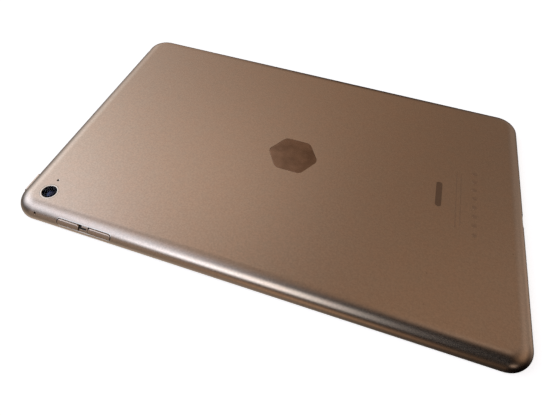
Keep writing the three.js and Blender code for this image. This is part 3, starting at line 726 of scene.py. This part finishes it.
def build_glass():
    """The cover glass with softly rounded rims round its outline and round the home button."""
    low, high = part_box("cover_glass")
    margin = HALF_LENGTH - high.x
    loops = [level(case_outline(margin), high.z)]
    for inset, rise in quarter_round(GLASS_FILLET, GLASS_FILLET_STEPS):
        loops.append(level(case_outline(margin + inset), low.z + rise))
    glass = loft("cover_glass_sheet", loops)
    wide = HOME_HOLE_R + HOME_HOLE_FLARE
    profile = [(0, low.z - MM), (wide, low.z - MM), (wide, low.z)]
    profile += arc((wide, low.z + HOME_HOLE_FLARE), HOME_HOLE_FLARE, 270, 180, 6)
    profile += [(HOME_HOLE_R, high.z + MM), (0, high.z + MM)]
    subtract(glass, lathe("cutter", profile, HOME))
    smooth(glass.data, 30)
    return glass


def build_home_button():
    """The dished home-button cover and the bright ring round it."""
    low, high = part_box("home_button_cover")
    radius = size("home_button_cover").x / 2
    profile = [(0, high.z), (radius, high.z)]
    profile += [(radius, low.z + HOME_CHAMFER), (radius - HOME_CHAMFER, low.z)]
    profile += crown(radius, low.z, HOME_DISH, HOME_DISH_STEPS)
    cover = lathe("home_button_dish", profile, HOME, FINE_RING_STEPS)
    low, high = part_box("home_button_ring")
    inner = radius + BEZEL_GAP
    profile = [(inner, high.z), (HOME_RING_R, high.z)]
    profile += arc((HOME_RING_R - BEZEL_BEAD, low.z + BEZEL_BEAD), BEZEL_BEAD, 0, -90, 6)
    profile += [(inner + BEZEL_LIP, low.z + 2 * HAIR), (inner, low.z + BEZEL_BEAD + HAIR)]
    return cover, lathe("home_button_bezel", profile, HOME, FINE_RING_STEPS)


def build_front_camera():
    """The front camera's round window behind the glass: a dark disc with a small lens, a hair proud."""
    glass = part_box("cover_glass")[0].z
    top = glass - FRONT_CAMERA_PROUD
    base = glass + FRONT_CAMERA_THICK
    profile = [(0, base), (FRONT_CAMERA_R, base), (FRONT_CAMERA_R, glass)]
    profile += [(FRONT_CAMERA_R - 2 * HAIR, top), (FRONT_LENS_R + 2 * HAIR, top)]
    profile += [(FRONT_LENS_R, glass), (0, glass)]
    return lathe("front_camera_window", profile, centre("front_camera"), LOOP_STEPS)


# ---- Printed marks on the back ----

MARK_HEIGHT = 0.006 * MM
BAR_X = 65.0 * MM
BAR_HALF = 7.2 * MM
BAR_R = 1.3 * MM
HAIRLINE_R = 0.22 * MM
HAIRLINES = [(72.2 * MM, 16 * MM), (74.1 * MM, 15 * MM)]  # each line's place along X and half length
DOTS_X = 79.8 * MM
DOT_COUNT = 8
DOT_PITCH = 5 * MM
DOT_R = 1.1 * MM


def flat_marks(name, outlines):
    """Very thin raised shapes on the flat back, all in one mesh."""
    low, high = TOP - MARK_HEIGHT, TOP + MARK_HEIGHT
    return merge(name, [upright_cutter(outline, low, high) for outline in outlines])


def pill_at(x, y, half_along_y, radius, steps=DOT_STEPS):
    """A pill outline on the back, lying along Y."""
    return [Vector((x + p.y, y + p.x)) for p in pill(half_along_y, radius, steps)]


def build_marks():
    """Plain stand-in marks near the charging end: a bar, two hairlines and a row of small dots."""
    bar = flat_marks("printed_bar", [pill_at(BAR_X, 0, BAR_HALF, BAR_R, 2 * DOT_STEPS)])
    lines = [pill_at(x, 0, half, HAIRLINE_R) for x, half in HAIRLINES]
    hairlines = flat_marks("printed_hairlines", lines)
    first = -DOT_PITCH * (DOT_COUNT - 1) / 2
    dots = [pill_at(DOTS_X, first + DOT_PITCH * index, DOT_R, DOT_R) for index in range(DOT_COUNT)]
    return bar, hairlines, flat_marks("printed_dots", dots)


# ---- Materials ----


def fill(node, **values):
    """Sets plain values on a node's inputs, such as Metallic=1."""
    for key, value in values.items():
        node.inputs[key.replace("_", " ")].default_value = value


class NodeTree:
    """Adds nodes to the tree of a material or a world."""

    def __init__(self, owner):
        owner.use_nodes = True
        self.nodes = owner.node_tree.nodes
        self.links = owner.node_tree.links

    def node(self, kind, **settings):
        """Adds a node and sets its properties."""
        made = self.nodes.new(kind)
        for key, value in settings.items():
            setattr(made, key, value)
        return made

    def join(self, source, target):
        """Links an output to an input."""
        self.links.new(source, target)

    def feed(self, target, value):
        """Links a socket, or sets a number or colour."""
        if isinstance(value, bpy.types.NodeSocket):
            self.join(value, target)
        elif isinstance(value, (int, float)):
            target.default_value = value
        else:
            target.default_value = colour(value)

    def math(self, operation, first, second=0.0):
        """A maths node."""
        made = self.node("ShaderNodeMath", operation=operation)
        self.feed(made.inputs[0], first)
        self.feed(made.inputs[1], second)
        return made.outputs[0]

    def mix_shaders(self, *sources):
        """Mixes two shaders. The sources are the factor, the first shader and the second one."""
        mix = self.node("ShaderNodeMixShader")
        for source, target in zip(sources, mix.inputs):
            self.join(source, target)
        return mix.outputs[0]


class Paint(NodeTree):
    """A procedural material under construction, with its Principled shader."""

    def __init__(self, name):
        self.material = bpy.data.materials.new(name)
        super().__init__(self.material)
        self.shader = next(n for n in self.nodes if n.type == "BSDF_PRINCIPLED")
        self.place = self.node("ShaderNodeTexCoord").outputs["Object"]

    def base(self, source):
        """Links the base colour."""
        self.join(source, self.shader.inputs["Base Color"])

    def rough(self, source):
        """Links the roughness."""
        self.join(source, self.shader.inputs["Roughness"])

    def set(self, **values):
        """Sets plain values on the shader, such as Metallic=1."""
        fill(self.shader, **values)

    def noise(self, cell, detail=2.0, stretch=(1, 1, 1)):
        """Noise whose features are about `cell` metres across."""
        mapping = self.node("ShaderNodeMapping")
        fill(mapping, Scale=stretch)
        noise = self.node("ShaderNodeTexNoise")
        fill(noise, Scale=1 / cell, Detail=detail)
        self.join(self.place, mapping.inputs["Vector"])
        self.join(mapping.outputs["Vector"], noise.inputs["Vector"])
        return noise.outputs["Fac"]

    def texture(self, kind, cell, **settings):
        """A texture node whose features are about `cell` metres across."""
        made = self.node(kind, **settings)
        fill(made, Scale=1 / cell)
        self.join(self.place, made.inputs["Vector"])
        return made

    def ramp(self, source, low, high, start=0.3, end=0.7):
        """Two colours or greys blended as source goes from start to end."""
        ramp = self.node("ShaderNodeValToRGB")
        first, last = ramp.color_ramp.elements
        first.position, last.position = start, end
        first.color, last.color = colour(low), colour(high)
        self.join(source, ramp.inputs["Fac"])
        return ramp.outputs["Color"]

    def mix(self, factor, first, second, mode="MIX"):
        """Mixes two colours, each a socket or a value, by a factor socket or number."""
        mix = self.node("ShaderNodeMix", data_type="RGBA", blend_type=mode)
        self.feed(mix.inputs["Factor"], factor)
        self.feed(mix.inputs[6], first)
        self.feed(mix.inputs[7], second)
        return mix.outputs[2]

    def bump(self, height, depth, strength=1.0):
        """Bump of a given depth in metres."""
        bump = self.node("ShaderNodeBump")
        fill(bump, Strength=strength, Distance=depth)
        self.join(height, bump.inputs["Height"])
        self.join(bump.outputs["Normal"], self.shader.inputs["Normal"])

    def axis(self, index):
        """One coordinate of the place, in metres."""
        split = self.node("ShaderNodeSeparateXYZ")
        self.join(self.place, split.inputs[0])
        return split.outputs[index]


def colour(value):
    """A colour with alpha, from three numbers or one grey."""
    if isinstance(value, (int, float)):
        return (value, value, value, 1.0)
    return (*value, 1.0)


GOLD = (0.80, 0.655, 0.55)


def anodised(name, tint=GOLD, roughness=0.25):
    """Blasted and anodised aluminium: fine grain, soft cloudiness and a few tiny specks."""
    paint = Paint(name)
    cloud = paint.noise(7 * MM, 2)
    mottle = paint.noise(1.9 * MM, 2)
    grain = paint.noise(0.07 * MM, 2)
    fleck = paint.noise(0.7 * MM, 4)
    warm = [tint[0] * 1.013, tint[1] * 0.983, tint[2] * 0.965]
    cool = [tint[0] * 0.977, tint[1] * 0.998, tint[2] * 1.003]
    base = paint.ramp(cloud, cool, warm, 0.35, 0.65)
    base = paint.mix(0.5, base, paint.ramp(mottle, cool, warm, 0.35, 0.65))
    shade = paint.ramp(fleck, 0.935, 1.055, 0.35, 0.65)
    base = paint.mix(1.0, base, shade, "MULTIPLY")
    cells = paint.texture("ShaderNodeTexVoronoi", 4.5 * MM)
    near = paint.math("LESS_THAN", cells.outputs["Distance"], 0.05)
    split = paint.node("ShaderNodeSeparateColor")
    paint.join(cells.outputs["Color"], split.inputs[0])
    rare = paint.math("GREATER_THAN", split.outputs[0], 0.94)
    speck = paint.math("MULTIPLY", near, rare)
    base = paint.mix(paint.math("MULTIPLY", speck, 0.45), base, (0.25, 0.18, 0.13))
    paint.base(base)
    rough = paint.ramp(paint.noise(0.5 * MM, 3), roughness - 0.02, roughness + 0.02)
    paint.rough(rough)
    paint.set(Metallic=1.0)
    paint.bump(grain, 0.0015 * MM, 0.5)
    return paint.material


def polished(name, tint, roughness=0.12, cloud=0.0):
    """Polished metal with faint turned lines, small scuffs and, at will, soft clouds of tarnish."""
    paint = Paint(name)
    scuff = paint.noise(0.4 * MM, 4)
    base = paint.ramp(scuff, [c * 0.96 for c in tint], tint)
    shade = paint.ramp(paint.noise(6 * MM, 3), 1 - cloud, 1 + cloud, 0.35, 0.65)
    base = paint.mix(1.0, base, shade, "MULTIPLY")
    paint.base(base)
    rough = paint.ramp(paint.noise(1.5 * MM, 3), roughness * 0.8, roughness * 1.3)
    paint.rough(rough)
    paint.set(Metallic=1.0)
    paint.bump(paint.noise(0.05 * MM, 2, (1, 1, 6)), 0.001 * MM, 0.3)
    return paint.material


def plastic(name, tint, roughness=0.5, gloss=0.5):
    """Moulded plastic with a spark-eroded grain."""
    paint = Paint(name)
    grain = paint.noise(0.12 * MM, 3)
    dark = [c * 0.85 for c in tint]
    paint.base(paint.ramp(paint.noise(3 * MM), dark, tint))
    paint.rough(paint.ramp(grain, roughness * 0.9, roughness * 1.1))
    paint.set(Specular_IOR_Level=gloss)
    paint.bump(grain, 0.01 * MM, 0.4)
    return paint.material


def sheet_steel(name, tint, roughness=0.33):
    """Rolled steel sheet: long fine lines along X."""
    paint = Paint(name)
    lines = paint.noise(0.1 * MM, 3, (0.03, 1, 1))
    paint.base(paint.ramp(lines, [c * 0.85 for c in tint], tint))
    paint.rough(paint.ramp(lines, roughness * 0.8, roughness * 1.2))
    paint.set(Metallic=1.0)
    paint.bump(lines, 0.002 * MM, 0.4)
    return paint.material


def circuit_board(name):
    """Solder mask over copper tracks, with bare pads."""
    paint = Paint(name)
    tracks = paint.texture("ShaderNodeTexBrick", 2.4 * MM)
    fill(tracks, Mortar_Size=0.03)
    mask = paint.ramp(tracks.outputs["Fac"], (0.012, 0.07, 0.03), (0.03, 0.16, 0.07), 0.4, 0.6)
    pads = paint.texture("ShaderNodeTexVoronoi", 1.6 * MM)
    pad = paint.math("LESS_THAN", pads.outputs["Distance"], 0.16)
    paint.base(paint.mix(pad, mask, (0.75, 0.55, 0.22)))
    paint.join(paint.math("MULTIPLY", pad, 0.9), paint.shader.inputs["Metallic"])
    paint.set(Roughness=0.35)
    paint.bump(tracks.outputs["Fac"], 0.02 * MM, 0.5)
    return paint.material


def foil(name, tint):
    """A laminated pouch: crinkled satin foil."""
    paint = Paint(name)
    crease = paint.noise(6 * MM, 5)
    paint.base(paint.ramp(crease, [c * 0.8 for c in tint], tint))
    paint.rough(paint.ramp(crease, 0.3, 0.45))
    paint.set(Metallic=0.4)
    paint.bump(crease, 0.1 * MM, 0.6)
    return paint.material


def film(name, tint):
    """Polyimide film with copper lines showing through."""
    paint = Paint(name)
    lines = paint.texture("ShaderNodeTexWave", 3 * MM, bands_direction="Y")
    paint.base(paint.ramp(lines.outputs["Fac"], [c * 0.6 for c in tint], tint))
    paint.set(Roughness=0.3)
    paint.bump(lines.outputs["Fac"], 0.01 * MM, 0.4)
    return paint.material


def woven_mesh(name):
    """Fine black wire mesh."""
    paint = Paint(name)
    weave = paint.texture("ShaderNodeTexChecker", 0.09 * MM)
    paint.base(paint.ramp(weave.outputs["Fac"], 0.006, 0.02))
    paint.set(Metallic=0.6, Roughness=0.45)
    paint.bump(weave.outputs["Fac"], 0.02 * MM, 0.7)
    return paint.material


DISPLAY_HALF = (80.2 * MM, 60.2 * MM)


def front_glass(name):
    """Cover glass: a white printed border behind it, and the dark display in the middle."""
    paint = Paint(name)
    inside = []
    for index, half in enumerate(DISPLAY_HALF):
        distance = paint.math("ABSOLUTE", paint.axis(index))
        gap = paint.math("DIVIDE", paint.math("SUBTRACT", half, distance), 0.05 * MM)
        clamped = paint.node("ShaderNodeClamp")
        paint.join(gap, clamped.inputs["Value"])
        inside.append(clamped.outputs[0])
    window = paint.math("MULTIPLY", inside[0], inside[1])
    smear = paint.noise(14 * MM, 4)
    border = paint.ramp(smear, (0.80, 0.79, 0.77), (0.84, 0.83, 0.81))
    panel = paint.ramp(paint.noise(0.2 * MM, 1), (0.006, 0.006, 0.008), (0.009, 0.009, 0.011))
    paint.base(paint.mix(window, border, panel))
    paint.rough(paint.ramp(smear, 0.03, 0.09))
    paint.set(Coat_Weight=1.0, Coat_Roughness=0.03)
    return paint.material


def ceramic_white(name):
    """The home button's smooth white face."""
    paint = Paint(name)
    paint.base(paint.ramp(paint.noise(4 * MM, 3), 0.78, 0.83))
    paint.rough(paint.ramp(paint.noise(2 * MM, 4), 0.06, 0.14))
    paint.set(Coat_Weight=0.6)
    return paint.material


def clear_glass(name):
    """Thin coated glass: mostly see-through, with a mirror-like sheen."""
    paint = Paint(name)
    clear = paint.node("ShaderNodeBsdfTransparent")
    fill(clear, Color=(0.9, 0.93, 1.0, 1.0))
    gloss = paint.node("ShaderNodeBsdfGlossy")
    paint.join(paint.ramp(paint.noise(1.2 * MM, 3), 0.02, 0.06), gloss.inputs["Roughness"])
    facing = paint.node("ShaderNodeFresnel")
    fill(facing, IOR=1.12)
    mixed = paint.mix_shaders(facing.outputs[0], clear.outputs[0], gloss.outputs[0])
    output = next(n for n in paint.nodes if n.type == "OUTPUT_MATERIAL")
    paint.join(mixed, output.inputs["Surface"])
    paint.nodes.remove(paint.shader)
    return paint.material


def coated_lens(name):
    """A lens front with a deep blue anti-reflection coating."""
    paint = Paint(name)
    facing = paint.node("ShaderNodeLayerWeight")
    fill(facing, Blend=0.45)
    tint = paint.ramp(facing.outputs["Facing"], (0.006, 0.009, 0.03), (0.02, 0.03, 0.08), 0.0, 0.9)
    tint = paint.mix(paint.math("MULTIPLY", paint.noise(1.0 * MM, 2), 0.3), tint, (0.012, 0.012, 0.04))
    paint.base(tint)
    paint.set(Roughness=0.3, Coat_Weight=0.6, Coat_Roughness=0.12, Coat_Tint=(0.5, 0.6, 1.0, 1.0))
    return paint.material


MATERIALS = {
    "anodised_case": anodised("anodised_gold"),
    "button_metal": anodised("anodised_button", roughness=0.26),
    "polished_trim": polished("polished_trim", (0.97, 0.88, 0.78), 0.25),
    "emblem_mirror": polished("emblem_mirror", (0.42, 0.285, 0.21), 0.26, 0.16),
    "front_glass": front_glass("front_glass"),
    "camera_glass": clear_glass("camera_glass"),
    "display_glass": plastic("display_glass", (0.01, 0.01, 0.012), 0.1),
    "lens_black": plastic("lens_black", (0.004, 0.004, 0.006), 0.5, 0.1),
    "black_plastic": plastic("black_plastic", (0.02, 0.02, 0.02)),
    "white_plastic": plastic("white_plastic", (0.8, 0.79, 0.76), 0.4),
    "chip_black": plastic("chip_black", (0.025, 0.025, 0.028), 0.45),
    "steel_sheet": sheet_steel("steel_sheet", (0.62, 0.61, 0.6)),
    "steel_mesh": woven_mesh("steel_mesh"),
    "screw_steel": polished("screw_steel", (0.6, 0.6, 0.62), 0.25),
    "magnet": polished("magnet", (0.66, 0.66, 0.67), 0.2),
    "circuit_board": circuit_board("circuit_board"),
    "battery_foil": foil("battery_foil", (0.11, 0.11, 0.12)),
    "cable_film": film("cable_film", (0.5, 0.2, 0.04)),
}
HOME_WHITE = ceramic_white("home_white")
LENS_COATING = coated_lens("lens_coating")
MARK_INK = anodised("etched_mark", (0.38, 0.29, 0.23), 0.4)
FAINT_INK = anodised("faint_etched_mark", (0.66, 0.53, 0.44), 0.33)


def dress(obj, slot, body="casing", node=None, material=None):
    """Gives a piece its slot's material or its own and its body, and hides the CAD node that it stands
    for.
    """
    obj.data.materials.clear()
    obj.data.materials.append(material or MATERIALS[slot])
    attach(obj, body)
    if node:
        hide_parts(node)


def dress_cad_nodes():
    """Gives every CAD node the procedural material of its slot."""
    slots = {part["node"]: part["material_slot"] for part in frame["record"]["subparts"]}
    for name, obj in frame["nodes"].items():
        obj.data.materials.clear()
        obj.data.materials.append(MATERIALS[slots[name]])


def build_tablet():
    """Makes every fine piece and fastens it to its body."""
    dress(build_case(), "anodised_case", node="rear_case")
    for trim in build_trims():
        dress(trim, "polished_trim")
    shade_plug, side_mesh, rear_mesh = build_shade_plug_and_mic_meshes()
    # The black plug is painted shade for the dark hollow behind the window between the volume buttons.
    dress(shade_plug, "black_plastic")
    dress(side_mesh, "steel_mesh")
    dress(rear_mesh, "steel_mesh")
    for skin, node in build_buttons():
        dress(skin, "button_metal", node, node)
    dress(build_camera_ring(), "polished_trim", node="camera_trim_ring")
    window, mask = build_camera_window()
    dress(window, "camera_glass", node="camera_window")
    dress(mask, "lens_black")
    barrel, lens = build_lens_barrel()
    dress(barrel, "lens_black", "camera_barrel", "camera_lens_barrel")
    dress(lens, "camera_glass", "camera_barrel", material=LENS_COATING)
    dress(build_emblem(), "emblem_mirror", node="emblem_inlay")
    dress(build_glass(), "front_glass", node="cover_glass")
    cover, bezel = build_home_button()
    dress(cover, "front_glass", "home_button", "home_button_cover", HOME_WHITE)
    dress(bezel, "polished_trim", "home_button", "home_button_ring")
    dress(build_front_camera(), "lens_black")
    bar, hairlines, dots = build_marks()
    dress(bar, "anodised_case", material=MARK_INK)
    dress(hairlines, "anodised_case", material=FAINT_INK)
    dress(dots, "anodised_case", material=FAINT_INK)


# ---- Floor, light and camera ----

FLOOR_HALF = 4.0
FLOOR_GAP = 0.15 * MM  # the floor lies this far under the glass


def build_floor():
    """A plain pale floor just under the glass. Metal reflects the soft light, not the floor."""
    mesh = bpy.data.meshes.new("floor")
    signs = ((-1, -1), (1, -1), (1, 1), (-1, 1))
    corners = [(x * FLOOR_HALF, y * FLOOR_HALF, -FLOOR_GAP) for x, y in signs]
    mesh.from_pydata(corners, [], [(0, 1, 2, 3)])
    floor = bpy.data.objects.new("floor", mesh)
    bpy.context.scene.collection.objects.link(floor)
    paint = Paint("floor_white")
    paint.base(paint.ramp(paint.noise(0.3, 2), 0.86, 0.9))
    paint.set(Roughness=0.9, Emission_Strength=0.72, Emission_Color=colour(1))
    floor.data.materials.append(paint.material)
    floor.visible_glossy = False
    floor.visible_shadow = False


def sky_direction(azimuth, elevation):
    """A unit vector; azimuth 0 is +Y and 90 is +X, in degrees."""
    a, e = math.radians(azimuth), math.radians(elevation)
    return (math.sin(a) * math.cos(e), math.cos(a) * math.cos(e), math.sin(e))


COOL = (0.86, 0.96, 1.16)
NEUTRAL = (1.0, 1.0, 1.0)
CREAM = (1.11, 1.0, 0.88)
WARM = (1.2, 0.95, 0.78)
BROWN = (1.35, 0.9, 0.6)

# Soft lights of the studio: azimuth, elevation, tightness, strength and tint.
SOFT_LIGHTS = [
    # The dim, warm far side of the room.
    (0, 30, 20, 0.14, BROWN),
    (30, 50, 20, 0.11, BROWN),
    (30, 10, 20, 0.18, WARM),
    (45, 70, 20, 0.15, BROWN),
    # The charging end: weak, low, warm lights.
    (60, -8, 20, 0.32, WARM),
    (60, 30, 20, 0.24, WARM),
    (85, 68, 90, 0.2, WARM),
    (90, 30, 20, 0.215, BROWN),
    (134, 14, 90, 0.4, WARM),
    # The volume buttons' side: two high lamps beside a cool window.
    (180, -8, 20, 0.25, BROWN),
    (184, 39, 90, 1.15, NEUTRAL),
    (186, 53, 90, 1.25, NEUTRAL),
    (201, 39, 60, 1.9, COOL),
    (210, 10, 20, 0.22, WARM),
    (214, 50, 60, 0.6, COOL),
    # The camera end: a broad glow from below and a wide cool window.
    (240, -50, 4, 0.42, CREAM),
    (240, 50, 20, 1.05, COOL),
    (270, 30, 20, 1.46, COOL),
    (270, 70, 20, 0.25, WARM),
    (300, 30, 20, 0.82, NEUTRAL),
    (302, 50, 90, 0.4, COOL),
    (303, -12, 20, 0.05, CREAM),
    (303, 4, 20, 0.28, NEUTRAL),
    # Back towards the far side.
    (330, 50, 20, 0.385, WARM),
    (330, 10, 20, 0.33, WARM),
]


def build_light():
    """A world of broad soft lights. The camera sees plain white behind the floor."""
    world = bpy.data.worlds.new("studio")
    bpy.context.scene.world = world
    sky = NodeTree(world)
    sky.nodes.clear()
    direction = sky.node("ShaderNodeTexCoord").outputs["Generated"]
    total = None
    for azimuth, elevation, tightness, strength, tint in SOFT_LIGHTS:
        dot = sky.node("ShaderNodeVectorMath", operation="DOT_PRODUCT")
        dot.inputs[1].default_value = sky_direction(azimuth, elevation)
        sky.join(direction, dot.inputs[0])
        front = sky.math("MAXIMUM", dot.outputs["Value"])
        glow = sky.node("ShaderNodeVectorMath", operation="SCALE")
        glow.inputs[0].default_value = [strength * part for part in tint]
        sky.join(sky.math("POWER", front, tightness), glow.inputs["Scale"])
        gather = sky.node("ShaderNodeVectorMath", operation="ADD")
        sky.join(glow.outputs[0], gather.inputs[0])
        if total:
            sky.join(total, gather.inputs[1])
        total = gather.outputs[0]
    lit = sky.node("ShaderNodeBackground")
    sky.join(total, lit.inputs["Color"])
    white = sky.node("ShaderNodeBackground")
    fill(white, Color=colour(1))
    seen = sky.node("ShaderNodeLightPath").outputs["Is Camera Ray"]
    mixed = sky.mix_shaders(seen, lit.outputs[0], white.outputs[0])
    sky.join(mixed, sky.node("ShaderNodeOutputWorld").inputs["Surface"])


CAMERA_PLACE = Vector((20.4, -135.0, 140.8)) * MM
CAMERA_AIM = Vector((-8.2, -35.4, 6.1)) * MM
CAMERA_ROLL = 3.43  # degrees, anticlockwise
CAMERA_LENS = 26.95  # millimetres, on a 36 mm sensor
CAMERA_SHIFT = 0.048


def build_camera_view():
    """A hand-held view from above the volume buttons' edge."""
    data = bpy.data.cameras.new("camera")
    data.sensor_width = 36
    data.lens = CAMERA_LENS
    data.shift_x = CAMERA_SHIFT
    data.clip_start = 0.005
    camera = bpy.data.objects.new("camera", data)
    bpy.context.scene.collection.objects.link(camera)
    look = (CAMERA_AIM - CAMERA_PLACE).to_track_quat("-Z", "Y").to_matrix()
    roll = Matrix.Rotation(math.radians(CAMERA_ROLL), 3, "Z")
    camera.matrix_world = Matrix.Translation(CAMERA_PLACE) @ (look @ roll).to_4x4()
    bpy.context.scene.camera = camera


dress_cad_nodes()
build_tablet()
build_floor()
build_light()
build_camera_view()
bpy.context.scene.view_settings.view_transform = "Standard"
